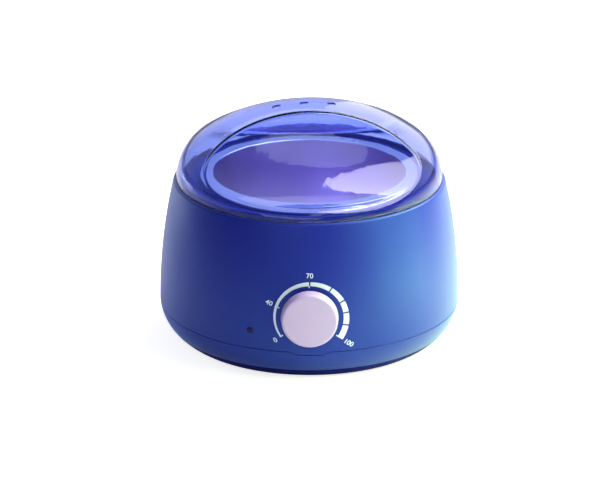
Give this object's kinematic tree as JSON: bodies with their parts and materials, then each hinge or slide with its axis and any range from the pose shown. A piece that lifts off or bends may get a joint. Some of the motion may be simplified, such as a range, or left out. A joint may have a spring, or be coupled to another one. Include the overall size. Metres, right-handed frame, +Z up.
{
  "type": "wax heater",
  "caption": "Round table-top wax heater with a lift-out pot in a heated well, a see-through domed lid with a scooped grip ridge, and a rotary temperature knob.",
  "frame": {"origin": "centre of the plane that the rubber feet stand on", "axes": "+Z up out of the pot, -Y towards the user, out of the knob's face"},
  "size_m": [0.18, 0.1937, 0.1436],
  "materials": {
    "blue_shell": "moulded, satin gloss",
    "navy_base": "moulded, fine satin",
    "foot_rubber": "moulded",
    "steel_fasteners": "zinc plated",
    "well_aluminium": "drawn",
    "plated_steel": "zinc plated sheet",
    "heater_jacket": "stainless jacket over mica",
    "mineral_fibre": "felted",
    "pot_aluminium": "drawn and spun",
    "lid_clear_blue": "clear tinted, polished",
    "knob_plastic": "moulded, fine satin",
    "brass_shaft": "turned",
    "thermostat_ceramic": "fired, unglazed",
    "indicator_lens": "polished",
    "lamp_glass": "clear",
    "inner_plastic": "moulded"
  },
  "bodies": {
    "housing": {"outer_housing": "blue_shell", "lower_ring": "blue_shell", "base_plate": "navy_base", "rubber_feet": "foot_rubber", "base_screws": "steel_fasteners", "heating_well": "well_aluminium", "well_retaining_ring": "plated_steel", "well_screws": "steel_fasteners", "band_heater": "heater_jacket", "clamp_screw": "steel_fasteners", "heater_insulation": "mineral_fibre", "thermostat_body": "thermostat_ceramic", "thermostat_nut": "brass_shaft", "thermostat_bracket": "plated_steel", "bracket_screws": "steel_fasteners", "indicator_lens": "indicator_lens", "indicator_lamp": "lamp_glass", "lamp_holder": "inner_plastic", "cord_gland": "foot_rubber", "terminal_block": "inner_plastic", "thermal_fuse": "thermostat_ceramic", "fuse_clip": "plated_steel"},
    "pot": {"wax_pot": "pot_aluminium"},
    "lid": {"lid": "lid_clear_blue"},
    "knob": {"control_knob": "knob_plastic", "knob_spring": "plated_steel", "thermostat_shaft": "brass_shaft"}
  },
  "joints": [
    {"name": "pot_lift", "type": "slide", "parent": "housing", "child": "pot", "axis": [0, 0, 1], "range_m": [0, 0.12]},
    {"name": "lid_lift", "type": "slide", "parent": "pot", "child": "lid", "axis": [0, 0, 1], "range_m": [0, 0.08]},
    {"name": "knob_turn", "type": "hinge", "parent": "housing", "child": "knob", "pos_m": [0, -0.09, 0.043], "axis": [0, 1, 0], "range_deg": [0, 250]}
  ]
}
